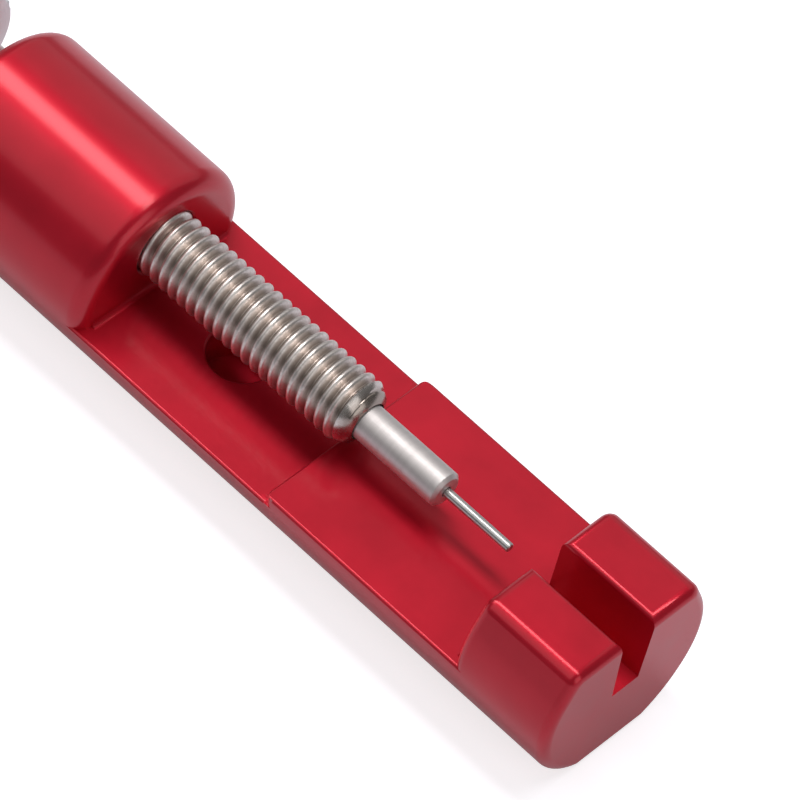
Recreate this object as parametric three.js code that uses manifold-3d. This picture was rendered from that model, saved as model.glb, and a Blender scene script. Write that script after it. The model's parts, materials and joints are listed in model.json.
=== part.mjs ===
// Watch link remover: a one-piece frame cut from round bar, and a hand-turned feed screw whose
// replaceable drive pin pushes the pins out of a bracelet link against a slotted anvil.
// Lengths are in millimetres. +X runs along the screw from the head to the anvil and +Z is up.
// The origin lies on the base flat, straight below the front face of the head.

import * as THREE from 'three';
import Module from 'manifold-3d';
import { mergeVertices } from 'three/addons/utils/BufferGeometryUtils.js';

// Frame: the round bar and the flat that it stands on
const barRadius = 11;
const baseFlatDepth = 1;
const barAxisHeight = barRadius - baseFlatDepth;

// Frame: lengths along the bar
const headLength = 24.4;
const railLength = 25.4;
const seatLength = 25.2;
const anvilLength = 12.15;
const seatStart = railLength;
const anvilStart = seatStart + seatLength;
const anvilEnd = anvilStart + anvilLength;

// Frame: levels, each measured from the part of the bar that it is cut from
const screwAxisRise = 4.1;
const railDrop = 1.7;
const seatStep = 1.4;
const anvilTopDrop = 3.15;
const screwAxisHeight = barAxisHeight + screwAxisRise;
const railHeight = barAxisHeight - railDrop;
const seatHeight = railHeight + seatStep;
const anvilHeight = barAxisHeight + barRadius - anvilTopDrop;

// Frame: anvil section and its slot
const anvilShoulder = 0.7;
const anvilCornerRadius = 1.5;
const slotFloorWidth = 3.6;
const slotMouthWidth = 4.4;
const slotFloorSink = 0.25;
const slotLipRadius = 0.6;

// Frame: edges, root fillets and the tapped hole
const headEdgeRadius = 1.9;
const anvilEdgeRadius = 1.1;
const bedEdgeBreak = 0.35;
const seatCornerRadius = 1;
const rootFilletRadius = 0.6;
const holeCountersink = 0.2;
const holeClearance = 0.2;

// Frame: the blind hole drilled in the rail, straight below the screw
const railHolePlace = 11.4;
const railHoleRadius = 3.5;
const railHoleDepth = 5;
const railHoleCountersink = 0.2;

// Feed screw: thread, front end and tail
const threadRadius = 3.7;
const threadDepth = 0.68;
const threadPitch = 1.25;
const screwReach = 27.5;
const frontTaperLength = 1.3;
const frontTaperDepth = 0.75;
const frontRingRise = 0.45;
const tailRadius = 2.9;
const tailLength = 7.5;
const knobStandOff = 5.1;

// Thread form: shares of one pitch taken by the root, each flank and the crest
const rootShare = 0.2;
const flankShare = 0.27;
const crestShare = 1 - rootShare - 2 * flankShare;

// Knob: fluted grip, held on the tail by one radial grub screw
const knobRadius = 7.6;
const knobLength = 10;
const knobEdgeChamfer = 0.4;
const knobRearDish = 0.5;
const knobRearRim = 1.6;
const fluteCount = 36;
const fluteDepth = 0.4;
const tailClearance = 0.1;

// Flute form: shares of one flute's angle taken by the land, each slope and the groove
const landShare = 0.4;
const slopeShare = 0.2;

// Grub screw: driven by a hexagon socket, sunk below the flutes
const grubRadius = 1.5;
const grubClearance = 0.1;
const grubSink = 0.6;
const grubSocketRadius = 0.85;
const grubSocketDepth = 1.4;
const grubEndChamfer = 0.3;
const seatingGap = 0.05;

// Pin holder: nose, spigot that screws into the feed screw, and the pocket for the pin's head
const holderRadius = 2.1;
const holderLength = 10.6;
const holderNoseChamfer = 0.7;
const holderSink = 0.6;
const spigotRadius = 1.5;
const spigotLength = 7;
const spigotClearance = 0.1;
const spigotBoreDepth = 7.6;
const pocketDepth = 4.6;
const pinClearance = 0.1;

// Drive pin: hard shank with a head that the holder traps
const pinRadius = 0.5;
const pinReach = 8.5;
const pinTipChamfer = 0.12;
const pinHeadRadius = 0.9;

// Facets
const barSteps = 56;
const boreSteps = 40;
const smallSteps = 24;
const edgeSteps = 5;
const threadStepsPerTurn = 16;
const hexagonSides = 6;

// Working values
const overrun = 1;
const weldTolerance = 1e-4;
const headBack = -headLength;
const knobFront = headBack - knobStandOff;
const knobBack = knobFront - knobLength;
const tailEnd = knobFront - tailLength;
const holderNose = screwReach + holderLength;
const spigotEnd = screwReach - spigotLength;
const spigotBoreEnd = screwReach - spigotBoreDepth;
const pocketEnd = spigotEnd + pocketDepth;
const holderSeat = screwReach - holderSink;
const holderBoreRadius = holderRadius + spigotClearance;
const holeRadius = threadRadius + holeClearance;

const wasm = await Module();
wasm.setup();

// Turn a closed three.js geometry into a solid that can be joined and cut.
function toSolid(geometry) {
  const bare = geometry.clone();
  bare.deleteAttribute('normal');
  bare.deleteAttribute('uv');
  const welded = mergeVertices(bare, weldTolerance);
  const vertProperties = welded.getAttribute('position').array;
  const triVerts = welded.getIndex().array;
  return new wasm.Manifold(new wasm.Mesh({ numProp: 3, vertProperties, triVerts }));
}

// Turn a solid back into a geometry that three.js can draw.
function toGeometry(solid) {
  const mesh = solid.getMesh();
  const geometry = new THREE.BufferGeometry();
  geometry.setAttribute('position', new THREE.BufferAttribute(mesh.vertProperties, 3));
  geometry.setIndex(new THREE.BufferAttribute(mesh.triVerts, 1));
  const faceted = geometry.toNonIndexed();
  faceted.computeVertexNormals();
  return faceted;
}

// Revolve [radius, x] points about the X axis. The points run from low x to high x.
function turnedAboutX(points, steps) {
  const profile = points.map(([radius, x]) => new THREE.Vector2(radius, x));
  const geometry = new THREE.LatheGeometry(profile, steps);
  geometry.rotateZ(-Math.PI / 2);
  return toSolid(geometry);
}

// Extrude a (y, z) outline along X. Both ends are rounded by the edge radius, if there is one.
function extrudedAlongX(shape, fromX, toX, edge = 0) {
  const geometry = new THREE.ExtrudeGeometry(shape, {
    depth: toX - fromX - 2 * edge,
    bevelEnabled: edge > 0,
    bevelThickness: edge,
    bevelSize: edge,
    bevelOffset: -edge,
    bevelSegments: edgeSteps,
    curveSegments: edgeSteps,
  });
  const yzx = new THREE.Matrix4().makeBasis(
    new THREE.Vector3(0, 1, 0),
    new THREE.Vector3(0, 0, 1),
    new THREE.Vector3(1, 0, 0),
  );
  geometry.applyMatrix4(yzx);
  geometry.translate(fromX + edge, 0, 0);
  return toSolid(geometry);
}

// Points of the bar's round side, from the right edge of the base flat over the top to its left.
function barArcPoints() {
  const baseAngle = -Math.asin(barAxisHeight / barRadius);
  const sweep = Math.PI - 2 * baseAngle;
  const points = [];
  for (let step = 0; step <= barSteps; step++) {
    const angle = baseAngle + (sweep * step) / barSteps;
    const y = barRadius * Math.cos(angle);
    const z = barAxisHeight + barRadius * Math.sin(angle);
    points.push(new THREE.Vector2(y, z));
  }
  return points;
}

// The head has the whole section of the bar and a broad round edge at both ends.
function makeHead() {
  const section = new THREE.Shape(barArcPoints());
  return extrudedAlongX(section, headBack, 0, headEdgeRadius);
}

// Everything above a level, with a slope outside it that breaks the two long edges of the bed.
function aboveLevel(height, fromX, toX) {
  const drop = barAxisHeight - height;
  const halfWidth = Math.sqrt(barRadius ** 2 - drop ** 2) - bedEdgeBreak;
  const reach = barRadius;
  const outline = new THREE.Shape();
  outline.moveTo(halfWidth, height);
  outline.lineTo(halfWidth + reach, height - reach);
  outline.lineTo(halfWidth + reach, height + barRadius * 2);
  outline.lineTo(-halfWidth - reach, height + barRadius * 2);
  outline.lineTo(-halfWidth - reach, height - reach);
  outline.lineTo(-halfWidth, height);
  return extrudedAlongX(outline, fromX, toX);
}

// The bed is the lower part of the bar: the rail, and one step up the seat for the bracelet.
function makeBed() {
  const section = new THREE.Shape(barArcPoints());
  const rootX = -headEdgeRadius - overrun;
  const endX = anvilStart + anvilEdgeRadius + overrun;
  const bar = extrudedAlongX(section, rootX, endX);
  const overRail = aboveLevel(railHeight, rootX - overrun, seatStart);
  const overSeat = aboveLevel(seatHeight, seatStart - overrun, endX + overrun);
  const bed = bar.subtract(overSeat).subtract(overRail);
  return bed.subtract(seatFrontEdgeCut()).subtract(seatCornersCut());
}

// A sloped cut that breaks the front edge of the seat.
function seatFrontEdgeCut() {
  const cut = new THREE.Shape();
  cut.moveTo(-overrun, -overrun - bedEdgeBreak);
  cut.lineTo(overrun + bedEdgeBreak, overrun);
  cut.lineTo(-overrun, overrun);
  const geometry = new THREE.ExtrudeGeometry(cut, { depth: barRadius * 2, bevelEnabled: false });
  geometry.rotateX(Math.PI / 2);
  geometry.translate(seatStart, barRadius, seatHeight);
  return toSolid(geometry);
}

// Upright cuts that round the seat's two front corners, where it meets the sides of the bar.
function seatCornersCut() {
  const cut = new THREE.Shape();
  cut.moveTo(0, -seatCornerRadius);
  cut.quadraticCurveTo(0, 0, seatCornerRadius, 0);
  cut.lineTo(seatCornerRadius, overrun);
  cut.lineTo(-overrun, overrun);
  cut.lineTo(-overrun, -seatCornerRadius);
  const geometry = new THREE.ExtrudeGeometry(cut, {
    depth: seatStep + overrun,
    bevelEnabled: false,
    curveSegments: edgeSteps,
  });
  const halfWidth = Math.sqrt(barRadius ** 2 - railDrop ** 2);
  geometry.translate(seatStart, halfWidth, railHeight);
  const left = toSolid(geometry);
  return left.add(left.mirror([0, 1, 0]));
}

// Outline of the anvil: the round bar below, straight flanks drawn up to squarer top corners.
function anvilOutline() {
  const rise = anvilHeight - barAxisHeight;
  const cornerY = Math.sqrt(barRadius ** 2 - rise ** 2) + anvilShoulder;
  const cornerDistance = Math.hypot(cornerY, rise);
  const tangentAngle = Math.atan2(rise, cornerY) - Math.acos(barRadius / cornerDistance);
  const tangentHeight = barAxisHeight + barRadius * Math.sin(tangentAngle);
  const sides = barArcPoints().filter((point) => point.y < tangentHeight);
  const right = sides.filter((point) => point.x > 0);
  const left = sides.filter((point) => point.x < 0);
  const flank = new THREE.Vector2(
    cornerY - barRadius * Math.cos(tangentAngle),
    anvilHeight - tangentHeight,
  ).normalize();
  const outline = new THREE.Shape(right);
  outline.lineTo(cornerY - flank.x * anvilCornerRadius, anvilHeight - flank.y * anvilCornerRadius);
  outline.quadraticCurveTo(cornerY, anvilHeight, cornerY - anvilCornerRadius, anvilHeight);
  outline.lineTo(-cornerY + anvilCornerRadius, anvilHeight);
  outline.quadraticCurveTo(
    -cornerY,
    anvilHeight,
    -cornerY + flank.x * anvilCornerRadius,
    anvilHeight - flank.y * anvilCornerRadius,
  );
  left.forEach((point) => outline.lineTo(point.x, point.y));
  return outline;
}

// The slot lets a driven-out pin leave the bracelet. It is cut a little deeper than the seat, and
// its walls open upward to rounded lips.
function anvilSlotCut() {
  const floor = slotFloorWidth / 2;
  const mouth = slotMouthWidth / 2;
  const floorHeight = seatHeight - slotFloorSink;
  const lipBottom = anvilHeight - slotLipRadius;
  const lipSide = mouth + slotLipRadius;
  const outline = new THREE.Shape();
  outline.moveTo(-floor, floorHeight);
  outline.lineTo(floor, floorHeight);
  outline.lineTo(mouth, lipBottom);
  outline.quadraticCurveTo(mouth, anvilHeight, lipSide, anvilHeight);
  outline.lineTo(lipSide, anvilHeight + overrun);
  outline.lineTo(-lipSide, anvilHeight + overrun);
  outline.lineTo(-lipSide, anvilHeight);
  outline.quadraticCurveTo(-mouth, anvilHeight, -mouth, lipBottom);
  return extrudedAlongX(outline, anvilStart - rootFilletRadius, anvilEnd + overrun);
}

// A concave root fillet where a wall rises from the bed. The wall stands on the given side of x,
// and the fillet ends where the wall's own edge begins to turn away.
function rootFillet(x, height, wallSide, wallEdgeRadius) {
  const radius = rootFilletRadius;
  const outline = new THREE.Shape();
  outline.moveTo(-radius, -radius);
  outline.lineTo(radius, -radius);
  outline.lineTo(radius, 0);
  outline.absarc(radius, radius, radius, -Math.PI / 2, -Math.PI, true);
  outline.lineTo(-radius, radius);
  const halfLength = barRadius - wallEdgeRadius;
  const geometry = new THREE.ExtrudeGeometry(outline, {
    depth: halfLength * 2,
    bevelEnabled: false,
    curveSegments: edgeSteps,
  });
  geometry.rotateX(Math.PI / 2);
  geometry.translate(0, halfLength, 0);
  if (wallSide > 0) geometry.rotateZ(Math.PI);
  geometry.translate(x, 0, height);
  return toSolid(geometry);
}

// The hole for the feed screw, countersunk at both faces of the head.
function screwHoleCut() {
  const mouth = holeRadius + holeCountersink;
  const hole = turnedAboutX(
    [
      [0, headBack - overrun],
      [mouth + overrun, headBack - overrun],
      [holeRadius, headBack + holeCountersink],
      [holeRadius, -holeCountersink],
      [mouth + overrun, overrun],
      [0, overrun],
    ],
    boreSteps,
  );
  return hole.translate([0, 0, screwAxisHeight]);
}

// The blind hole in the rail, turned about X and stood upright on its floor.
function railHoleCut() {
  const mouth = railHoleRadius + railHoleCountersink;
  const hole = turnedAboutX(
    [
      [0, 0],
      [railHoleRadius, 0],
      [railHoleRadius, railHoleDepth - railHoleCountersink],
      [mouth + overrun, railHoleDepth + overrun],
      [0, railHoleDepth + overrun],
    ],
    boreSteps,
  );
  return hole.rotate([0, -90, 0]).translate([railHolePlace, 0, railHeight - railHoleDepth]);
}

function makeFrame() {
  const anvil = extrudedAlongX(anvilOutline(), anvilStart, anvilEnd, anvilEdgeRadius);
  return makeHead()
    .add(makeBed())
    .add(anvil)
    .add(rootFillet(0, railHeight, -1, headEdgeRadius))
    .add(rootFillet(anvilStart, seatHeight, 1, anvilEdgeRadius))
    .subtract(anvilSlotCut())
    .subtract(screwHoleCut())
    .subtract(railHoleCut());
}

// One unbroken right-hand ridge, built as rows of profile points that climb one pitch a turn.
function threadedBar(fromX, toX) {
  const rootRadius = threadRadius - threadDepth;
  const profile = [
    { share: 0, radius: rootRadius },
    { share: rootShare, radius: rootRadius },
    { share: rootShare + flankShare, radius: threadRadius },
    { share: rootShare + flankShare + crestShare, radius: threadRadius },
  ];
  const turns = Math.ceil((toX - fromX) / threadPitch) + 2;
  const rows = turns * threadStepsPerTurn;
  const lastRow = rows - threadStepsPerTurn;
  const firstX = fromX - threadPitch;
  const positions = [];
  for (let row = 0; row <= rows; row++) {
    const turn = row / threadStepsPerTurn;
    const angle = 2 * Math.PI * turn;
    for (const { share, radius } of profile) {
      const x = firstX + threadPitch * (turn + share);
      positions.push(x, radius * Math.cos(angle), radius * Math.sin(angle));
    }
  }
  const startCentre = positions.length / 3;
  positions.push(firstX + threadPitch / 2, 0, 0);
  positions.push(firstX + threadPitch * (turns - 1 / 2), 0, 0);
  const endCentre = startCentre + 1;
  const count = profile.length;
  const at = (row, place) => {
    if (place === count) return (row + threadStepsPerTurn) * count;
    return row * count + place;
  };
  const faces = [];
  for (let row = 0; row < lastRow; row++) {
    for (let place = 0; place < count; place++) {
      faces.push(at(row, place), at(row + 1, place), at(row, place + 1));
      faces.push(at(row + 1, place), at(row + 1, place + 1), at(row, place + 1));
    }
  }
  for (let step = 0; step < threadStepsPerTurn; step++) {
    faces.push(startCentre, at(step + 1, 0), at(step, 0));
    faces.push(endCentre, at(lastRow + step, 0), at(lastRow + step + 1, 0));
  }
  for (let place = 0; place < count; place++) {
    faces.push(startCentre, at(0, place), at(0, place + 1));
    faces.push(endCentre, at(lastRow, place + 1), at(lastRow, place));
  }
  const geometry = new THREE.BufferGeometry();
  geometry.setAttribute('position', new THREE.Float32BufferAttribute(positions, 3));
  geometry.setIndex(faces);
  return toSolid(usedVertices(geometry));
}

// The last turn's spare profile points belong to no face, so only the used ones are kept.
function usedVertices(geometry) {
  return geometry.toNonIndexed();
}

function makeFeedScrew() {
  const rootRadius = threadRadius - threadDepth;
  const ringRadius = threadRadius - frontTaperDepth;
  const ringStart = screwReach - frontRingRise;
  const taperSlope = frontTaperLength / frontTaperDepth;
  const blank = turnedAboutX(
    [
      [0, knobFront],
      [rootRadius, knobFront],
      [threadRadius + overrun, knobFront + threadDepth + overrun],
      [threadRadius + overrun, ringStart - (frontTaperDepth + overrun) * taperSlope],
      [ringRadius, ringStart],
      [holderBoreRadius, screwReach],
      [0, screwReach],
    ],
    boreSteps,
  );
  const tail = turnedAboutX(
    [
      [0, tailEnd],
      [tailRadius - grubEndChamfer, tailEnd],
      [tailRadius, tailEnd + grubEndChamfer],
      [tailRadius, knobFront + overrun],
      [0, knobFront + overrun],
    ],
    boreSteps,
  );
  const bore = turnedAboutX(
    [
      [0, spigotBoreEnd],
      [spigotRadius + spigotClearance, spigotBoreEnd],
      [spigotRadius + spigotClearance, holderSeat],
      [holderBoreRadius, holderSeat],
      [holderBoreRadius, screwReach + overrun],
      [0, screwReach + overrun],
    ],
    boreSteps,
  );
  return threadedBar(knobFront, screwReach).intersect(blank).add(tail).subtract(bore);
}

// Outline of the grip: straight flutes with flat lands, as a closed ring of points.
function knobOutline() {
  const points = [];
  const fluteAngle = (2 * Math.PI) / fluteCount;
  const stops = [
    { share: 0, radius: knobRadius },
    { share: landShare, radius: knobRadius },
    { share: landShare + slopeShare, radius: knobRadius - fluteDepth },
    { share: 1 - slopeShare, radius: knobRadius - fluteDepth },
  ];
  for (let flute = 0; flute < fluteCount; flute++) {
    for (const { share, radius } of stops) {
      const angle = fluteAngle * (flute + share);
      points.push(new THREE.Vector2(radius * Math.cos(angle), radius * Math.sin(angle)));
    }
  }
  return new THREE.Shape(points);
}

function makeKnob() {
  const grip = extrudedAlongX(knobOutline(), knobBack - overrun, knobFront + overrun);
  const dishRadius = knobRadius - knobEdgeChamfer - knobRearRim;
  const blank = turnedAboutX(
    [
      [0, knobBack + knobRearDish],
      [dishRadius, knobBack + knobRearDish],
      [dishRadius + knobRearDish, knobBack],
      [knobRadius - knobEdgeChamfer, knobBack],
      [knobRadius + overrun, knobBack + knobEdgeChamfer + overrun],
      [knobRadius + overrun, knobFront - knobEdgeChamfer - overrun],
      [knobRadius - knobEdgeChamfer, knobFront],
      [0, knobFront],
    ],
    barSteps,
  );
  const tailHole = turnedAboutX(
    [
      [0, tailEnd - seatingGap],
      [tailRadius + tailClearance, tailEnd - seatingGap],
      [tailRadius + tailClearance, knobFront + overrun],
      [0, knobFront + overrun],
    ],
    boreSteps,
  );
  return grip.intersect(blank).subtract(tailHole).subtract(grubHoleCut());
}

// The grub screw stands on the tail, halfway along it, and points straight up.
const grubX = (knobFront + tailEnd) / 2;
const grubBottom = tailRadius + seatingGap;
const grubTop = knobRadius - fluteDepth - grubSink;

// Stand something turned about X upright at the grub screw's place, its low end at the bottom.
function standAtGrub(solid) {
  return solid.rotate([0, -90, 0]).translate([grubX, 0, 0]);
}

function grubHoleCut() {
  const radius = grubRadius + grubClearance;
  const hole = turnedAboutX(
    [
      [0, 0],
      [radius, 0],
      [radius, knobRadius + overrun],
      [0, knobRadius + overrun],
    ],
    smallSteps,
  );
  return standAtGrub(hole);
}

function makeGrubScrew() {
  const body = turnedAboutX(
    [
      [0, grubBottom],
      [grubRadius - grubEndChamfer, grubBottom],
      [grubRadius, grubBottom + grubEndChamfer],
      [grubRadius, grubTop - grubEndChamfer],
      [grubRadius - grubEndChamfer, grubTop],
      [0, grubTop],
    ],
    smallSteps,
  );
  const socket = turnedAboutX(
    [
      [0, grubTop - grubSocketDepth],
      [grubSocketRadius, grubTop - grubSocketDepth],
      [grubSocketRadius, grubTop + overrun],
      [0, grubTop + overrun],
    ],
    hexagonSides,
  );
  return standAtGrub(body.subtract(socket));
}

// The holder sits in the screw's front bore. Its pocket traps the head of the pin.
function makePinHolder() {
  const outside = turnedAboutX(
    [
      [0, spigotEnd],
      [spigotRadius, spigotEnd],
      [spigotRadius, holderSeat + seatingGap],
      [holderRadius, holderSeat + seatingGap],
      [holderRadius, holderNose - holderNoseChamfer],
      [holderRadius - holderNoseChamfer, holderNose],
      [0, holderNose],
    ],
    boreSteps,
  );
  const inside = turnedAboutX(
    [
      [0, spigotEnd - overrun],
      [pinHeadRadius + pinClearance, spigotEnd - overrun],
      [pinHeadRadius + pinClearance, pocketEnd],
      [pinRadius + pinClearance, pocketEnd],
      [pinRadius + pinClearance, holderNose + overrun],
      [0, holderNose + overrun],
    ],
    smallSteps,
  );
  return outside.subtract(inside);
}

function makeDrivePin() {
  const pinTip = holderNose + pinReach;
  return turnedAboutX(
    [
      [0, spigotBoreEnd + seatingGap],
      [pinHeadRadius, spigotBoreEnd + seatingGap],
      [pinHeadRadius, pocketEnd - seatingGap],
      [pinRadius, pocketEnd - seatingGap],
      [pinRadius, pinTip - pinTipChamfer],
      [pinRadius - pinTipChamfer, pinTip],
      [0, pinTip],
    ],
    smallSteps,
  );
}

function namedMesh(name, solid, material) {
  const mesh = new THREE.Mesh(toGeometry(solid), material);
  mesh.name = name;
  return mesh;
}

const redLacquer = new THREE.MeshStandardMaterial({ color: 0xb3202f, roughness: 0.35, metalness: 0.2 });
const screwSteel = new THREE.MeshStandardMaterial({ color: 0xb9b2ab, roughness: 0.3, metalness: 1 });
const holderSteel = new THREE.MeshStandardMaterial({ color: 0xbdbbb8, roughness: 0.25, metalness: 1 });
const pinSteel = new THREE.MeshStandardMaterial({ color: 0x9a9894, roughness: 0.3, metalness: 1 });
const turnedAluminium = new THREE.MeshStandardMaterial({ color: 0xd6d5d4, roughness: 0.35, metalness: 1 });
const grubSteel = new THREE.MeshStandardMaterial({ color: 0x2a2a2c, roughness: 0.45, metalness: 0.8 });

// Everything on the screw is modelled about the X axis and raised to the screw's height.
const spindle = new THREE.Group();
spindle.position.z = screwAxisHeight;
spindle.add(
  namedMesh('feed_screw', makeFeedScrew(), screwSteel),
  namedMesh('knob', makeKnob(), turnedAluminium),
  namedMesh('knob_grub_screw', makeGrubScrew(), grubSteel),
  namedMesh('pin_holder', makePinHolder(), holderSteel),
  namedMesh('drive_pin', makeDrivePin(), pinSteel),
);

const linkRemover = new THREE.Group();
linkRemover.add(namedMesh('frame', makeFrame(), redLacquer), spindle);

export default linkRemover;
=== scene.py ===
import json
import math

import bmesh
import bpy
from mathutils import Matrix, Vector


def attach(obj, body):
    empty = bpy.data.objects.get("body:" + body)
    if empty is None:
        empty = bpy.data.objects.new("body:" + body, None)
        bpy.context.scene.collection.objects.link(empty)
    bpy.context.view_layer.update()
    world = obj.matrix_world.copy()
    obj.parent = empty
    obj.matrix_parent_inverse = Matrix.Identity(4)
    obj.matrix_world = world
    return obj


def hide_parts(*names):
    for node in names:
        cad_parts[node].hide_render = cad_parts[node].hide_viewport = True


# Watch link remover: red lacquered frame cut from round bar, with a hand-turned feed screw.
# Piece sizes are in millimetres and turn into metres where a mesh is made.
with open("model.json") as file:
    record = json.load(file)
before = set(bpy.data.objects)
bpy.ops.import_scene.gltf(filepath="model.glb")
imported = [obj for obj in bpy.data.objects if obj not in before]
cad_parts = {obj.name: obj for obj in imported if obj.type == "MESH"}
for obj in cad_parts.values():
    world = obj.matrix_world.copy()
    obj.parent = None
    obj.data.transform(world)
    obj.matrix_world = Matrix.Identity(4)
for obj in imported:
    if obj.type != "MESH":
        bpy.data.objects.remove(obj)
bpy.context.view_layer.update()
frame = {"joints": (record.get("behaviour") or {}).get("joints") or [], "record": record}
mm = 0.001
tiny = 1e-7  # metres, for merging doubles

screwAxis = next(joint for joint in frame["joints"] if joint["type"] == "hinge")["pos_m"][2] / mm


# Selection and edit mode

def clearSelection():
    if bpy.context.mode != "OBJECT":
        bpy.ops.object.mode_set(mode="OBJECT")
    bpy.ops.object.select_all(action="DESELECT")


def activate(piece):
    clearSelection()
    piece.select_set(True)
    bpy.context.view_layer.objects.active = piece


def edit(piece):
    activate(piece)
    bpy.ops.object.mode_set(mode="EDIT")
    bpy.ops.mesh.select_mode(type="VERT")
    bpy.ops.mesh.select_all(action="SELECT")


def pick(kind, wanted):
    # select the vertices, edges or faces whose place or normal passes the test
    bpy.ops.mesh.select_mode(type=kind)
    bpy.ops.mesh.select_all(action="DESELECT")
    mesh = bmesh.from_edit_mesh(bpy.context.edit_object.data)
    elements = {"VERT": mesh.verts, "EDGE": mesh.edges, "FACE": mesh.faces}[kind]
    for element in elements:
        if wanted(element):
            element.select_set(True)
    bmesh.update_edit_mesh(bpy.context.edit_object.data)


def near(value, place, reach=0.01):
    return abs(value / mm - place) < reach


def tidyMesh(piece):
    edit(piece)
    bpy.ops.mesh.remove_doubles(threshold=tiny)
    bpy.ops.mesh.normals_make_consistent(inside=False)
    clearSelection()


# Blanks that every piece starts from

def roundBar(name, radius, fromX, toX, height, sides):
    clearSelection()
    bpy.ops.mesh.primitive_cylinder_add(
        vertices=sides, radius=radius * mm, depth=(toX - fromX) * mm,
        location=((fromX + toX) / 2 * mm, 0, height * mm), rotation=(0, math.pi / 2, 0))
    bar = bpy.context.object
    bar.name = bar.data.name = name
    bpy.ops.object.transform_apply(location=True, rotation=True, scale=True)
    return bar


def drawnLine(name, points):
    # a line drawn point by point, from a plane merged to a single vertex
    clearSelection()
    bpy.ops.mesh.primitive_plane_add(size=mm, location=(0, 0, 0))
    line = bpy.context.object
    line.name = line.data.name = name
    edit(line)
    bpy.ops.mesh.merge(type="CENTER")
    bpy.ops.transform.translate(value=Vector(points[0]) * mm)
    for here, there in zip(points, points[1:]):
        step = (Vector(there) - Vector(here)) * mm
        bpy.ops.mesh.extrude_region_move(TRANSFORM_OT_translate={"value": step})
    return line


def turned(name, outline, steps):
    # turned round the screw axis; outline: (x, radius) points from one end of the piece to the other
    piece = drawnLine(name, [(x, 0, screwAxis + radius) for x, radius in outline])
    bpy.ops.mesh.select_all(action="SELECT")
    bpy.ops.mesh.spin(steps=steps, angle=2 * math.pi, center=(0, 0, screwAxis * mm), axis=(1, 0, 0))
    tidyMesh(piece)
    return piece


def drawnBlock(name, points, through):
    # a closed outline, filled and pulled along one vector
    block = drawnLine(name, points)
    bpy.ops.mesh.select_all(action="SELECT")
    bpy.ops.mesh.edge_face_add()
    bpy.ops.mesh.extrude_region_move(TRANSFORM_OT_translate={"value": Vector(through) * mm})
    tidyMesh(block)
    return block


def combine(piece, other, operation):
    activate(piece)
    bpy.ops.object.modifier_add(type="BOOLEAN")
    modifier = piece.modifiers[-1]
    modifier.operation = operation
    modifier.solver = "EXACT"
    modifier.object = other
    bpy.ops.object.modifier_apply(modifier=modifier.name)
    activate(other)
    bpy.ops.object.delete()


def closeSlivers(piece):
    # three points on one line can leave a hair-thin gap after a boolean
    edit(piece)
    bpy.ops.mesh.select_mode(type="EDGE")
    bpy.ops.mesh.select_all(action="DESELECT")
    bpy.ops.mesh.select_non_manifold()
    bpy.ops.mesh.edge_face_add()
    bpy.ops.mesh.select_all(action="SELECT")
    bpy.ops.mesh.dissolve_degenerate(threshold=tiny)
    clearSelection()


def softenEdges(piece, width, segments=3, angle=28):
    activate(piece)
    bpy.ops.object.modifier_add(type="BEVEL")
    modifier = piece.modifiers[-1]
    modifier.width = width * mm
    modifier.segments = segments
    modifier.limit_method = "ANGLE"
    modifier.angle_limit = math.radians(angle)
    modifier.use_clamp_overlap = True
    bpy.ops.object.modifier_apply(modifier=modifier.name)


def smooth(piece, angle=32):
    activate(piece)
    bpy.ops.object.shade_smooth_by_angle(angle=math.radians(angle))
    bpy.ops.object.modifier_add(type="WEIGHTED_NORMAL")
    modifier = piece.modifiers[-1]
    modifier.keep_sharp = True
    modifier.weight = 80
    bpy.ops.object.modifier_apply(modifier=modifier.name)
    clearSelection()


def arc(centreA, centreB, radius, fromDegrees, toDegrees, steps):
    points = []
    for step in range(steps + 1):
        angle = math.radians(fromDegrees + (toDegrees - fromDegrees) * step / steps)
        points.append((centreA + radius * math.cos(angle), centreB + radius * math.sin(angle)))
    return points


# Shader nodes

def startMaterial(name):
    material = bpy.data.materials.new(name)
    material.use_nodes = True
    tree = material.node_tree
    tree.nodes.clear()
    shader = tree.nodes.new("ShaderNodeBsdfPrincipled")
    output = tree.nodes.new("ShaderNodeOutputMaterial")
    tree.links.new(shader.outputs["BSDF"], output.inputs["Surface"])
    return material, tree, shader


def feed(tree, value, socket):
    # link another node's output, or set a plain number or colour
    if isinstance(value, bpy.types.NodeSocket):
        tree.links.new(value, socket)
    else:
        socket.default_value = value


def addNode(tree, kind, settings=None, **inputs):
    node = tree.nodes.new(kind)
    for name, value in (settings or {}).items():
        setattr(node, name, value)
    for name, value in inputs.items():
        feed(tree, value, node.inputs[name])
    return node


def maths(tree, operation, first, second=0.0):
    node = tree.nodes.new("ShaderNodeMath")
    node.operation = operation
    for socket, value in zip(node.inputs, (first, second)):
        feed(tree, value, socket)
    return node.outputs[0]


def remap(tree, value, toMin, toMax, fromMin=0.0, fromMax=1.0):
    node = tree.nodes.new("ShaderNodeMapRange")
    tree.links.new(value, node.inputs["Value"])
    for name, number in (("From Min", fromMin), ("From Max", fromMax),
                         ("To Min", toMin), ("To Max", toMax)):
        node.inputs[name].default_value = number
    return node.outputs["Result"]


def blendColour(tree, factor, first, second):
    node = tree.nodes.new("ShaderNodeMix")
    node.data_type = "RGBA"
    tree.links.new(factor, node.inputs["Factor"])
    for socket, colour in ((node.inputs[6], first), (node.inputs[7], second)):
        feed(tree, colour if isinstance(colour, bpy.types.NodeSocket) else (*colour, 1), socket)
    return node.outputs[2]


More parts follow.
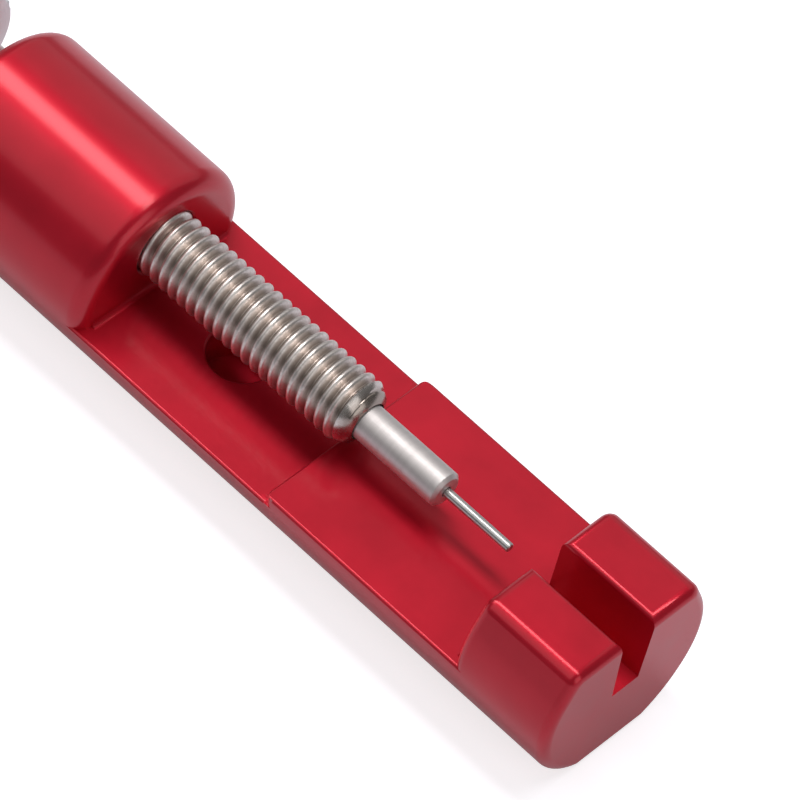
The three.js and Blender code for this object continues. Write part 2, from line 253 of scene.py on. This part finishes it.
def buildLatheMarks():
    # rings round the screw axis: along a turned side, and concentric on a turned face
    coarseScale, coarseShare = 0.17, 0.6  # the wide rings under the fine ones
    group = bpy.data.node_groups.new("latheMarks", "ShaderNodeTree")
    inputs = (("Rings Per Metre", 9000.0), ("Axis Height", screwAxis * mm), ("Run Out", 0.02))
    for name, default in inputs:
        socket = group.interface.new_socket(name, in_out="INPUT", socket_type="NodeSocketFloat")
        socket.default_value = default
    for name in ("Height", "Tone", "Radius"):
        group.interface.new_socket(name, in_out="OUTPUT", socket_type="NodeSocketFloat")
    inlet = group.nodes.new("NodeGroupInput")
    outlet = group.nodes.new("NodeGroupOutput")
    place = addNode(group, "ShaderNodeTexCoord").outputs["Object"]
    axes = addNode(group, "ShaderNodeSeparateXYZ", Vector=place).outputs
    above = maths(group, "SUBTRACT", axes["Z"], inlet.outputs["Axis Height"])
    across = maths(group, "POWER", axes["Y"], 2.0)
    radius = maths(group, "SQRT", maths(group, "ADD", across, maths(group, "POWER", above, 2.0)))
    turn = maths(group, "ARCTAN2", above, axes["Y"])
    wander = maths(group, "MULTIPLY", maths(group, "MULTIPLY", maths(group, "SINE", turn), mm),
                   inlet.outputs["Run Out"])
    along = maths(group, "ADD", axes["X"], wander)
    rings = addNode(group, "ShaderNodeCombineXYZ", X=along, Y=radius).outputs[0]
    fine = addNode(group, "ShaderNodeTexNoise", {"noise_dimensions": "2D"}, Vector=rings, Detail=3.0,
                   Roughness=0.65, Scale=inlet.outputs["Rings Per Metre"])
    coarse = addNode(group, "ShaderNodeTexNoise", {"noise_dimensions": "2D"}, Vector=rings, Detail=1.0,
                     Scale=maths(group, "MULTIPLY", inlet.outputs["Rings Per Metre"], coarseScale))
    group.links.new(fine.outputs["Fac"], outlet.inputs["Height"])
    tone = maths(group, "ADD", maths(group, "MULTIPLY", fine.outputs["Fac"], 1 - coarseShare),
                 maths(group, "MULTIPLY", coarse.outputs["Fac"], coarseShare))
    group.links.new(tone, outlet.inputs["Tone"])
    group.links.new(radius, outlet.inputs["Radius"])
    return group


def buildHandling():
    # soft patches where fingers and cloths have changed the gloss
    group = bpy.data.node_groups.new("handling", "ShaderNodeTree")
    size = group.interface.new_socket("Patch Size", in_out="INPUT", socket_type="NodeSocketFloat")
    size.default_value = 0.006
    group.interface.new_socket("Patches", in_out="OUTPUT", socket_type="NodeSocketFloat")
    inlet = group.nodes.new("NodeGroupInput")
    outlet = group.nodes.new("NodeGroupOutput")
    place = addNode(group, "ShaderNodeTexCoord").outputs["Object"]
    patches = addNode(group, "ShaderNodeTexNoise", Vector=place, Detail=4.0, Roughness=0.6,
                      Scale=maths(group, "DIVIDE", 1.0, inlet.outputs["Patch Size"]))
    group.links.new(remap(group, patches.outputs["Fac"], 0.0, 1.0, 0.3, 0.7), outlet.inputs["Patches"])
    return group


latheMarks = buildLatheMarks()
handling = buildHandling()


def addGroup(tree, group, **inputs):
    node = tree.nodes.new("ShaderNodeGroup")
    node.node_tree = group
    for name, value in inputs.items():
        node.inputs[name].default_value = value
    return node


lacquer = {
    "deep": (0.53, 0.007, 0.024),
    "bright": (0.61, 0.009, 0.029),
    "metallic": 0.62,
    "roughness": (0.35, 0.41),
    "specular": 0.1,
    "coat": 0.7,
    "coatRoughness": 0.18,
    "patch": 0.009,
    "peelSize": 0.0009,
    "peelDepth": 0.000006,
    "peelStrength": 0.35,
}


def lacquerMaterial():
    material, tree, shader = startMaterial("redLacquer")
    use = addGroup(tree, handling, **{"Patch Size": lacquer["patch"]})
    place = addNode(tree, "ShaderNodeTexCoord").outputs["Object"]
    peel = addNode(tree, "ShaderNodeTexNoise", Vector=place, Scale=1 / lacquer["peelSize"], Detail=2.0)
    colour = blendColour(tree, use.outputs["Patches"], lacquer["deep"], lacquer["bright"])
    tree.links.new(colour, shader.inputs["Base Color"])
    roughness = remap(tree, use.outputs["Patches"], *lacquer["roughness"])
    tree.links.new(roughness, shader.inputs["Roughness"])
    bump = addNode(tree, "ShaderNodeBump", Strength=lacquer["peelStrength"],
                   Distance=lacquer["peelDepth"], Height=peel.outputs["Fac"])
    tree.links.new(bump.outputs["Normal"], shader.inputs["Normal"])
    shader.inputs["Metallic"].default_value = lacquer["metallic"]
    shader.inputs["Specular IOR Level"].default_value = lacquer["specular"]
    shader.inputs["Coat Weight"].default_value = lacquer["coat"]
    shader.inputs["Coat Roughness"].default_value = lacquer["coatRoughness"]
    return material


# The bare metals, in metres. On the screw, groove is the radii between which the painted shade in the
# thread roots fades out, and turnedEnd the places along it between which the glossy front end starts.
steels = {
    "screwSteel": {
        "dark": (0.63, 0.555, 0.515), "bright": (1.0, 0.96, 0.925), "roughness": (0.29, 0.45),
        "rings": 5200.0, "depth": 0.000012, "strength": 0.4, "patch": 0.0003, "mottle": 0.8,
        # painted shade: the colour that the thread roots are darkened to, standing in for the shade between
        # the crests
        "groove": (0.00302, 0.00345), "paintedRootShade": (0.43, 0.365, 0.325),
        "turnedEnd": (0.0257, 0.0261), "endGloss": 0.65,
    },
    "holderSteel": {
        "dark": (0.60, 0.555, 0.545), "bright": (0.80, 0.75, 0.735), "roughness": (0.46, 0.56),
        "rings": 9000.0, "depth": 0.000003, "strength": 0.25, "patch": 0.003, "mottle": 0.15,
    },
    "pinSteel": {
        "dark": (0.48, 0.47, 0.46), "bright": (0.68, 0.66, 0.64), "roughness": (0.26, 0.36),
        "rings": 12000.0, "depth": 0.000002, "strength": 0.25, "patch": 0.002, "mottle": 0.2,
    },
    "turnedAluminium": {
        "dark": (0.84, 0.84, 0.85), "bright": (0.95, 0.95, 0.95), "roughness": (0.34, 0.46),
        "rings": 5200.0, "depth": 0.000014, "strength": 0.6, "patch": 0.004, "mottle": 0.1,
        "metallic": 0.85,
    },
    "blackSteel": {
        "dark": (0.015, 0.015, 0.017), "bright": (0.05, 0.05, 0.055), "roughness": (0.38, 0.5),
        "rings": 6000.0, "depth": 0.000008, "strength": 0.4, "patch": 0.001, "mottle": 0.3,
    },
}


def steelMaterial(name):
    finish = steels[name]
    material, tree, shader = startMaterial(name)
    marks = addGroup(tree, latheMarks, **{"Rings Per Metre": finish["rings"]})
    use = addGroup(tree, handling, **{"Patch Size": finish["patch"]})
    turnedTone = blendColour(tree, marks.outputs["Tone"], finish["dark"], finish["bright"])
    dull = remap(tree, use.outputs["Patches"], 0.0, finish["mottle"])
    colour = blendColour(tree, dull, turnedTone, finish["dark"])
    if "groove" in finish:
        # painted shade: darken the thread roots by radius, in place of the shade that falls between the
        # crests
        rootShadeMask = remap(tree, marks.outputs["Radius"], 1.0, 0.0, *finish["groove"])
        colour = blendColour(tree, rootShadeMask, colour, finish["paintedRootShade"])
    tree.links.new(colour, shader.inputs["Base Color"])
    roughness = remap(tree, use.outputs["Patches"], *finish["roughness"])
    if "turnedEnd" in finish:
        place = addNode(tree, "ShaderNodeTexCoord").outputs["Object"]
        along = addNode(tree, "ShaderNodeSeparateXYZ", Vector=place).outputs["X"]
        roughness = maths(tree, "MULTIPLY", roughness,
                          remap(tree, along, 1.0, finish["endGloss"], *finish["turnedEnd"]))
    tree.links.new(roughness, shader.inputs["Roughness"])
    bump = addNode(tree, "ShaderNodeBump", Strength=finish["strength"], Distance=finish["depth"],
                   Height=marks.outputs["Height"])
    tree.links.new(bump.outputs["Normal"], shader.inputs["Normal"])
    shader.inputs["Metallic"].default_value = finish.get("metallic", 1.0)
    return material


def finishPiece(piece, material, node):
    piece.data.materials.clear()
    piece.data.materials.append(material)
    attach(piece, next(body for body, nodes in bodies.items() if node in nodes))
    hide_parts(node)
    print("made", piece.name, len(piece.data.polygons), "faces")


bodies = frame["record"]["behaviour"]["bodies"]

# Frame

body = {
    "radius": 11.0, "axis": 10.0,
    "headBack": -24.4, "anvilEnd": 62.75,
    "seatStart": 25.4, "anvilStart": 50.6,
    "rail": 8.3, "seat": 9.7, "anvilTop": 17.85,
    "cornerY": 8.41, "cornerRound": 1.0,
    "headRound": 1.9, "anvilRound": 1.1, "bedRound": 0.35, "rootRound": 0.6, "stepRound": 0.25,
    "seatCorner": 1.0,
    "slotSink": 0.25, "slotFloor": 3.6, "slotMouth": 4.4, "lipRound": 0.6,
    "hole": 3.76, "countersink": 0.2,
    "railHoleX": 11.4, "railHole": 3.5, "railHoleDepth": 5.0,
    "bedIntoHead": 3.0, "bedIntoAnvil": 2.5, "rootSunk": 0.01,
    "sides": 192, "over": 1.0,  # over: how far cutters stand out
}


def flattenBase():
    # the narrow flat that the tool stands on
    bpy.ops.mesh.select_all(action="SELECT")
    bpy.ops.mesh.bisect(plane_co=(0, 0, 0), plane_no=(0, 0, 1), threshold=tiny, use_fill=True,
                        clear_inner=True)


def roundEnds(ends, radius, segments):
    pick("EDGE", lambda edge: any(all(near(v.co.x, end) for v in edge.verts) for end in ends))
    bpy.ops.mesh.bevel(offset=radius * mm, segments=segments, profile=0.5, affect="EDGES")


def makeHead():
    head = roundBar("head", body["radius"], body["headBack"], 0, body["axis"], body["sides"])
    edit(head)
    flattenBase()
    roundEnds((body["headBack"], 0), body["headRound"], 10)
    tidyMesh(head)
    return head


def makeAnvil():
    anvil = roundBar("anvil", body["radius"], body["anvilStart"], body["anvilEnd"], body["axis"],
                     body["sides"])
    top = body["anvilTop"] * mm
    edit(anvil)
    flattenBase()
    bpy.ops.mesh.select_all(action="SELECT")
    bpy.ops.mesh.bisect(plane_co=(0, 0, top), plane_no=(0, 0, 1), threshold=tiny, use_fill=True,
                        clear_outer=True)
    # widen a copy of the top and wrap the whole in its hull, so that the flanks rise straight to it
    pick("FACE", lambda face: all(near(v.co.z, body["anvilTop"]) for v in face.verts))
    topWidth = max(v.co.y for v in bmesh.from_edit_mesh(anvil.data).verts if v.select)
    bpy.ops.mesh.duplicate()
    bpy.ops.transform.resize(value=(1, body["cornerY"] * mm / topWidth, 1), center_override=(0, 0, top))
    bpy.ops.mesh.select_all(action="SELECT")
    bpy.ops.mesh.convex_hull(use_existing_faces=False)
    bpy.ops.mesh.select_all(action="SELECT")
    bpy.ops.mesh.dissolve_limited(angle_limit=math.radians(0.3))
    pick("EDGE", lambda edge: all(near(v.co.z, body["anvilTop"]) for v in edge.verts)
         and all(near(abs(v.co.y), body["cornerY"]) for v in edge.verts)
         and not near(edge.verts[0].co.x, edge.verts[1].co.x / mm))
    bpy.ops.mesh.bevel(offset=body["cornerRound"] * mm, segments=6, profile=0.5, affect="EDGES")
    roundEnds((body["anvilStart"], body["anvilEnd"]), body["anvilRound"], 8)
    tidyMesh(anvil)
    return anvil


def levelCutter(height, fromX, toX):
    # everything above a level, rounding the two long edges of the bed
    halfWidth = math.sqrt(body["radius"] ** 2 - (height - body["axis"]) ** 2)
    soft = body["bedRound"]
    clear = halfWidth + 3
    side = arc(halfWidth - soft, height - soft, soft, 90, 0, 6)
    outside = [(clear, height - soft), (clear, height + 2 * body["radius"])]
    right = side + outside
    left = [(-y, z) for y, z in reversed(right)]
    return drawnBlock("cutter", [(fromX, y, z) for y, z in right + left], (toX - fromX, 0, 0))


def stepEdgeCutter():
    # rounds the front edge of the seat
    soft, start, over = body["bedRound"], body["seatStart"], body["over"]
    edge = arc(start + soft, body["seat"] - soft, soft, 180, 90, 6)
    points = edge + [(start + soft, body["seat"] + over), (start - over, body["seat"] + over),
                     (start - over, body["seat"] - soft)]
    halfLength = body["radius"] + 4
    return drawnBlock("cutter", [(x, -halfLength, z) for x, z in points], (0, 2 * halfLength, 0))


def stepCornerCutter(side):
    # rounds the seat's front corner where it meets the side of the bar
    soft, start, over = body["seatCorner"], body["seatStart"], body["over"]
    corner = math.sqrt(body["radius"] ** 2 - (body["rail"] - body["axis"]) ** 2)
    curve = arc(start + soft, corner - soft, soft, 180, 90, 8)
    points = curve + [(start + soft, corner + over), (start - over, corner + over),
                      (start - over, corner - soft)]
    return drawnBlock("cutter", [(x, side * y, body["rail"]) for x, y in points], (0, 0, 4))


def rootStrip(x, height, wallSide, radius, halfLength):
    # a concave fillet between the bed and a wall, sunk a hair into both
    depth = 0.5
    centreX = x - radius * wallSide
    wallAngle = 180 if wallSide < 0 else 360
    hollow = arc(centreX, height + radius, radius + body["rootSunk"], 270, wallAngle, 6)
    back = x + depth * wallSide
    points = [(centreX, height - depth)] + hollow + [(back, height + radius), (back, height - depth)]
    return drawnBlock("strip", [(px, -halfLength, pz) for px, pz in points], (0, 2 * halfLength, 0))


def slotCutter():
    top, lip = body["anvilTop"], body["lipRound"]
    floor, mouth = body["slotFloor"] / 2, body["slotMouth"] / 2
    lipArc = arc(mouth + lip, top - lip, lip, 180, 90, 6)
    right = [(floor, body["seat"] - body["slotSink"])] + lipArc + [(mouth + lip, top + body["over"])]
    left = [(-y, z) for y, z in reversed(right)]
    fromX = body["anvilStart"] - body["rootRound"]
    length = body["anvilEnd"] + body["over"] - fromX
    return drawnBlock("cutter", [(fromX, y, z) for y, z in right + left], (length, 0, 0))


def railHoleCutter():
    # the blind hole in the rail, straight below the screw
    x, radius, over = body["railHoleX"], body["railHole"], body["over"]
    floor = body["rail"] - body["railHoleDepth"]
    mouth = radius + body["countersink"] + over
    cutter = drawnLine("cutter", [(x, 0, floor), (x + radius, 0, floor),
                                  (x + radius, 0, body["rail"] - body["countersink"]),
                                  (x + mouth, 0, body["rail"] + over), (x, 0, body["rail"] + over)])
    bpy.ops.mesh.select_all(action="SELECT")
    bpy.ops.mesh.spin(steps=72, angle=2 * math.pi, center=(x * mm, 0, 0), axis=(0, 0, 1))
    tidyMesh(cutter)
    return cutter


def makeFrame():
    frameBody = makeHead()
    over = body["over"]
    bedStart, bedEnd = -body["bedIntoHead"], body["anvilStart"] + body["bedIntoAnvil"]
    bed = roundBar("bed", body["radius"], bedStart, bedEnd, body["axis"], body["sides"])
    edit(bed)
    flattenBase()
    tidyMesh(bed)
    combine(bed, levelCutter(body["rail"], bedStart - over, body["seatStart"]), "DIFFERENCE")
    combine(bed, levelCutter(body["seat"], body["seatStart"] - over, bedEnd + over), "DIFFERENCE")
    combine(bed, stepEdgeCutter(), "DIFFERENCE")
    for side in (-1, 1):
        combine(bed, stepCornerCutter(side), "DIFFERENCE")
    combine(bed, railHoleCutter(), "DIFFERENCE")
    combine(bed, rootStrip(0, body["rail"], -1, body["rootRound"],
                           body["radius"] - body["headRound"]), "UNION")
    combine(bed, rootStrip(body["anvilStart"], body["seat"], 1, body["rootRound"],
                           body["radius"] - body["anvilRound"]), "UNION")
    combine(bed, rootStrip(body["seatStart"], body["rail"], 1, body["stepRound"],
                           body["radius"] - body["seatCorner"]), "UNION")
    combine(frameBody, bed, "UNION")
    combine(frameBody, makeAnvil(), "UNION")
    combine(frameBody, slotCutter(), "DIFFERENCE")
    mouth = body["hole"] + body["countersink"]
    hole = turned("cutter", [
        (body["headBack"] - over, 0), (body["headBack"] - over, mouth + over),
        (body["headBack"] + body["countersink"], body["hole"]), (-body["countersink"], body["hole"]),
        (over, mouth + over), (over, 0)], 96)
    combine(frameBody, hole, "DIFFERENCE")
    closeSlivers(frameBody)
    frameBody.name = frameBody.data.name = "lacqueredFrame"
    tidyMesh(frameBody)
    smooth(frameBody)
    return frameBody


# Feed screw

screw = {
    "radius": 3.7, "depth": 0.68, "pitch": 1.25,
    "back": -29.5, "front": 27.5, "taperLength": 1.3, "taperDepth": 0.75, "ringRise": 0.45,
    "tailRadius": 2.9, "tailEnd": -37.0, "tailChamfer": 0.3,
    "boreRadius": 1.6, "boreEnd": 19.9, "seatRadius": 2.15, "seat": 26.9,
    "pointsPerPitch": 14, "stepsPerTurn": 48, "grooveSharpness": 1.35,
    "threadStart": 0.53,  # share of a turn
    "sides": 96,
}


def threadProfile():
    # wide worn crests and narrow rounded grooves
    points = []
    for step in range(screw["pointsPerPitch"] + 1):
        share = step / screw["pointsPerPitch"]
        hollow = (1 - math.cos(2 * math.pi * (share - screw["threadStart"]))) / 2
        depth = screw["depth"] * hollow ** screw["grooveSharpness"]
        points.append((screw["back"] - screw["pitch"] * (1 - share), 0, screw["radius"] - depth))
    return points


def makeScrew():
    turns = math.ceil((screw["front"] - screw["back"]) / screw["pitch"]) + 2
    thread = drawnLine("feedScrew", threadProfile())
    clearSelection()
    activate(thread)
    bpy.ops.object.modifier_add(type="SCREW")
    modifier = thread.modifiers[-1]
    modifier.axis = "X"
    modifier.angle = 2 * math.pi
    modifier.screw_offset = screw["pitch"] * mm
    modifier.iterations = turns
    modifier.steps = modifier.render_steps = screw["stepsPerTurn"]
    bpy.ops.object.modifier_apply(modifier=modifier.name)
    edit(thread)
    bpy.ops.mesh.remove_doubles(threshold=mm / 1000)
    bpy.ops.transform.translate(value=(0, 0, screwAxis * mm))
    for end, side in ((screw["back"] + 0.001, "clear_inner"), (screw["front"], "clear_outer")):
        bpy.ops.mesh.select_all(action="SELECT")
        bpy.ops.mesh.bisect(plane_co=(end * mm, 0, 0), plane_no=(1, 0, 0), threshold=tiny, use_fill=True,
                            **{side: True})
    tidyMesh(thread)
    root = screw["radius"] - screw["depth"]
    ring = screw["radius"] - screw["taperDepth"]
    ringStart = screw["front"] - screw["ringRise"]
    slope = screw["taperLength"] / screw["taperDepth"]
    blank = turned("cutter", [
        (screw["back"], 0), (screw["back"], root),
        (screw["back"] + screw["depth"] + 1, screw["radius"] + 1),
        (ringStart - slope * (screw["taperDepth"] + 1), screw["radius"] + 1), (ringStart, ring),
        (screw["front"], screw["seatRadius"]), (screw["front"], 0)], screw["sides"])
    combine(thread, blank, "INTERSECT")
    tail = turned("tail", [
        (screw["tailEnd"], 0), (screw["tailEnd"], screw["tailRadius"] - screw["tailChamfer"]),
        (screw["tailEnd"] + screw["tailChamfer"], screw["tailRadius"]),
        (screw["back"] + 1, screw["tailRadius"]), (screw["back"] + 1, 0)], screw["sides"])
    combine(thread, tail, "UNION")
    bore = turned("cutter", [
        (screw["boreEnd"], 0), (screw["boreEnd"], screw["boreRadius"]),
        (screw["seat"], screw["boreRadius"]), (screw["seat"], screw["seatRadius"]),
        (screw["front"] + 1, screw["seatRadius"]),
        (screw["front"] + 1, 0)], screw["sides"])
    combine(thread, bore, "DIFFERENCE")
    tidyMesh(thread)
    smooth(thread, 40)
    return thread


# Knob

knob = {
    "radius": 7.6, "front": -29.5, "back": -39.5, "chamfer": 0.4,
    "flutes": 36, "fluteDepth": 0.4, "sidesPerFlute": 8,
    "dish": 0.5, "rim": 1.6, "tailHole": 3.0, "tailHoleEnd": -37.05,
    "grubX": -33.25, "grubHole": 1.6,
}


def makeKnob():
    sides = knob["flutes"] * knob["sidesPerFlute"]
    shoulder = knob["radius"] - knob["chamfer"]
    dishRadius = shoulder - knob["rim"]
    grip = turned("knurledKnob", [
        (knob["back"] + knob["dish"], 0), (knob["back"] + knob["dish"], dishRadius),
        (knob["back"], dishRadius + knob["dish"]), (knob["back"], shoulder),
        (knob["back"] + knob["chamfer"], knob["radius"]),
        (knob["front"] - knob["chamfer"], knob["radius"]),
        (knob["front"], shoulder), (knob["front"], knob["tailHole"]),
        (knob["tailHoleEnd"], knob["tailHole"]), (knob["tailHoleEnd"], 0)], sides)
    edit(grip)
    centre = (0, 0, screwAxis * mm)

    def polar(vertex):
        across, above = vertex.co.y / mm, vertex.co.z / mm - screwAxis
        return math.hypot(across, above), math.atan2(above, across) / (2 * math.pi) * sides

    for place in range(1, knob["sidesPerFlute"] // 2 + 1):
        depth = knob["fluteDepth"] * (1 - math.cos(2 * math.pi * place / knob["sidesPerFlute"])) / 2
        size = 1 - depth / knob["radius"]

        def inFlute(vertex):
            radius, turn = polar(vertex)
            phase = round(turn) % knob["sidesPerFlute"]
            return radius > knob["radius"] - 0.01 and min(phase, knob["sidesPerFlute"] - phase) == place

        pick("VERT", inFlute)
        bpy.ops.transform.resize(value=(1, size, size), center_override=centre)
    bpy.ops.mesh.select_all(action="SELECT")
    bpy.ops.mesh.quads_convert_to_tris()
    combine(grip, uprightBar(knob["grubHole"], 0, knob["radius"] + 1, 64), "DIFFERENCE")
    tidyMesh(grip)
    smooth(grip, 25)
    return grip


# Grub screw, standing on the tail inside the knob

grub = {"radius": 1.5, "bottom": 2.95, "top": 6.6, "socket": 0.85, "socketDepth": 1.4, "chamfer": 0.3}


def uprightBar(radius, bottom, top, sides):
    clearSelection()
    bpy.ops.mesh.primitive_cylinder_add(
        vertices=sides, radius=radius * mm, depth=(top - bottom) * mm,
        location=(knob["grubX"] * mm, 0, (screwAxis + (top + bottom) / 2) * mm))
    bar = bpy.context.object
    bpy.ops.object.transform_apply(location=True, rotation=True, scale=True)
    return bar


def makeGrubScrew():
    piece = uprightBar(grub["radius"], grub["bottom"], grub["top"], 48)
    piece.name = piece.data.name = "grubScrew"
    edit(piece)
    pick("EDGE", lambda edge: near(edge.verts[0].co.z, edge.verts[1].co.z / mm))
    bpy.ops.mesh.bevel(offset=grub["chamfer"] * mm, segments=1, affect="EDGES")
    tidyMesh(piece)
    socket = uprightBar(grub["socket"], grub["top"] - grub["socketDepth"], grub["top"] + 1, 6)
    combine(piece, socket, "DIFFERENCE")
    softenEdges(piece, 0.04)
    smooth(piece)
    return piece


# Pin holder and drive pin

holder = {
    "radius": 1.95, "base": 26.95, "nose": 38.1, "noseChamfer": 0.4,
    "spigot": 1.5, "spigotEnd": 20.5, "pocket": 1.0, "pocketEnd": 25.1, "bore": 0.6,
}


def makeHolder():
    rim = holder["radius"] - holder["noseChamfer"]
    piece = turned("pinHolder", [
        (holder["spigotEnd"], holder["pocket"]), (holder["spigotEnd"], holder["spigot"]),
        (holder["base"], holder["spigot"]), (holder["base"], holder["radius"]),
        (holder["nose"] - holder["noseChamfer"], holder["radius"]), (holder["nose"], rim),
        (holder["nose"], holder["bore"]), (holder["pocketEnd"], holder["bore"]),
        (holder["pocketEnd"], holder["pocket"]), (holder["spigotEnd"], holder["pocket"])], 96)
    softenEdges(piece, 0.06)
    smooth(piece)
    return piece


pin = {
    "radius": 0.5, "tip": 46.6, "tipRound": 0.2,
    "headRadius": 0.9, "headStart": 19.95, "headEnd": 25.05,
}


def makePin():
    tip = arc(pin["tip"] - pin["tipRound"], pin["radius"] - pin["tipRound"], pin["tipRound"], 90, 0, 5)
    piece = turned("drivePin", [
        (pin["headStart"], 0), (pin["headStart"], pin["headRadius"]),
        (pin["headEnd"], pin["headRadius"]), (pin["headEnd"], pin["radius"])] + tip + [(pin["tip"], 0)], 48)
    softenEdges(piece, 0.03)
    smooth(piece)
    return piece


finishPiece(makeFrame(), lacquerMaterial(), "frame")
finishPiece(makeScrew(), steelMaterial("screwSteel"), "feed_screw")
finishPiece(makeKnob(), steelMaterial("turnedAluminium"), "knob")
finishPiece(makeGrubScrew(), steelMaterial("blackSteel"), "knob_grub_screw")
finishPiece(makeHolder(), steelMaterial("holderSteel"), "pin_holder")
finishPiece(makePin(), steelMaterial("pinSteel"), "drive_pin")

# Floor, lights and camera

studio = {
    "floorColour": (0.64, 0.63, 0.69),
    "floorLift": 0.72,
    "floorGlow": 0.12,
    "worldFill": 0.13,
    "aim": (0.02, 0, 0.01),  # lamp places, sizes and this point are in metres
    "strip": {"place": (-0.22, 0.10, 0.70), "size": (1.3, 0.20), "power": 4.5},
    "side": {"place": (-0.2, 1.0, 0.70), "size": (1.6, 1.0), "power": 2.1},
    "front": {"place": (-0.35, -0.52, 0.90), "size": (1.2, 0.8), "power": 2.0},
    "end": {"place": (0.95, -0.1, 0.45), "size": (0.7, 0.7), "power": 1.5},
}


def makeFloor():
    clearSelection()
    bpy.ops.mesh.primitive_plane_add(size=6, location=(0, 0, 0))
    floor = bpy.context.object
    floor.name = "floor"
    material, tree, shader = startMaterial("paleFloor")
    shader.inputs["Base Color"].default_value = (*studio["floorColour"], 1)
    shader.inputs["Roughness"].default_value = 0.9
    shader.inputs["Specular IOR Level"].default_value = 0.0
    rays = addNode(tree, "ShaderNodeLightPath").outputs
    seen = maths(tree, "MULTIPLY", rays["Is Camera Ray"], studio["floorLift"])
    mirrored = maths(tree, "MULTIPLY", rays["Is Glossy Ray"], studio["floorGlow"])
    shader.inputs["Emission Color"].default_value = (1, 1, 1, 1)
    tree.links.new(maths(tree, "ADD", seen, mirrored), shader.inputs["Emission Strength"])
    floor.data.materials.append(material)


def makeWorld():
    world = bpy.data.worlds.new("studio")
    bpy.context.scene.world = world
    world.use_nodes = True
    tree = world.node_tree
    tree.nodes.clear()
    rays = addNode(tree, "ShaderNodeLightPath").outputs
    fill = remap(tree, rays["Is Camera Ray"], studio["worldFill"], 1.0)
    background = addNode(tree, "ShaderNodeBackground", Color=(1, 1, 1, 1), Strength=fill)
    output = addNode(tree, "ShaderNodeOutputWorld")
    tree.links.new(background.outputs[0], output.inputs["Surface"])


def makeLamp(name):
    facts = studio[name]
    bpy.ops.object.light_add(type="AREA", location=facts["place"])
    lamp = bpy.context.object
    lamp.name = name
    lamp.data.shape = "RECTANGLE"
    lamp.data.size, lamp.data.size_y = facts["size"]
    lamp.data.energy = facts["power"]
    # face the tool, with the long side of the lamp along the screw
    back = (Vector(facts["place"]) - Vector(studio["aim"])).normalized()
    short = back.cross(Vector((1, 0, 0))).normalized()
    long = short.cross(back).normalized()
    lamp.rotation_euler = Matrix((long, short, back)).transposed().to_euler()


# angles in degrees, lens in millimetres
view = {"target": (25.13, 7.98, 8.33), "distance": 725.0, "azimuth": -56.094, "elevation": 52.039,
        "roll": 13.62, "lens": 340.2}


def makeCamera():
    azimuth, elevation = math.radians(view["azimuth"]), math.radians(view["elevation"])
    outward = Vector((math.cos(elevation) * math.cos(azimuth), math.cos(elevation) * math.sin(azimuth),
                      math.sin(elevation)))
    data = bpy.data.cameras.new("camera")
    camera = bpy.data.objects.new("camera", data)
    bpy.context.scene.collection.objects.link(camera)
    camera.location = (Vector(view["target"]) + outward * view["distance"]) * mm
    level = outward.to_track_quat("Z", "Y").to_matrix()
    camera.rotation_euler = (level @ Matrix.Rotation(math.radians(view["roll"]), 3, "Z")).to_euler()
    data.lens = view["lens"]
    data.sensor_width = 36
    data.clip_start = 0.01
    bpy.context.scene.camera = camera


makeFloor()
makeWorld()
for lampName in ("strip", "side", "front", "end"):
    makeLamp(lampName)
makeCamera()
bpy.context.scene.view_settings.view_transform = "Standard"
print("studio ready")
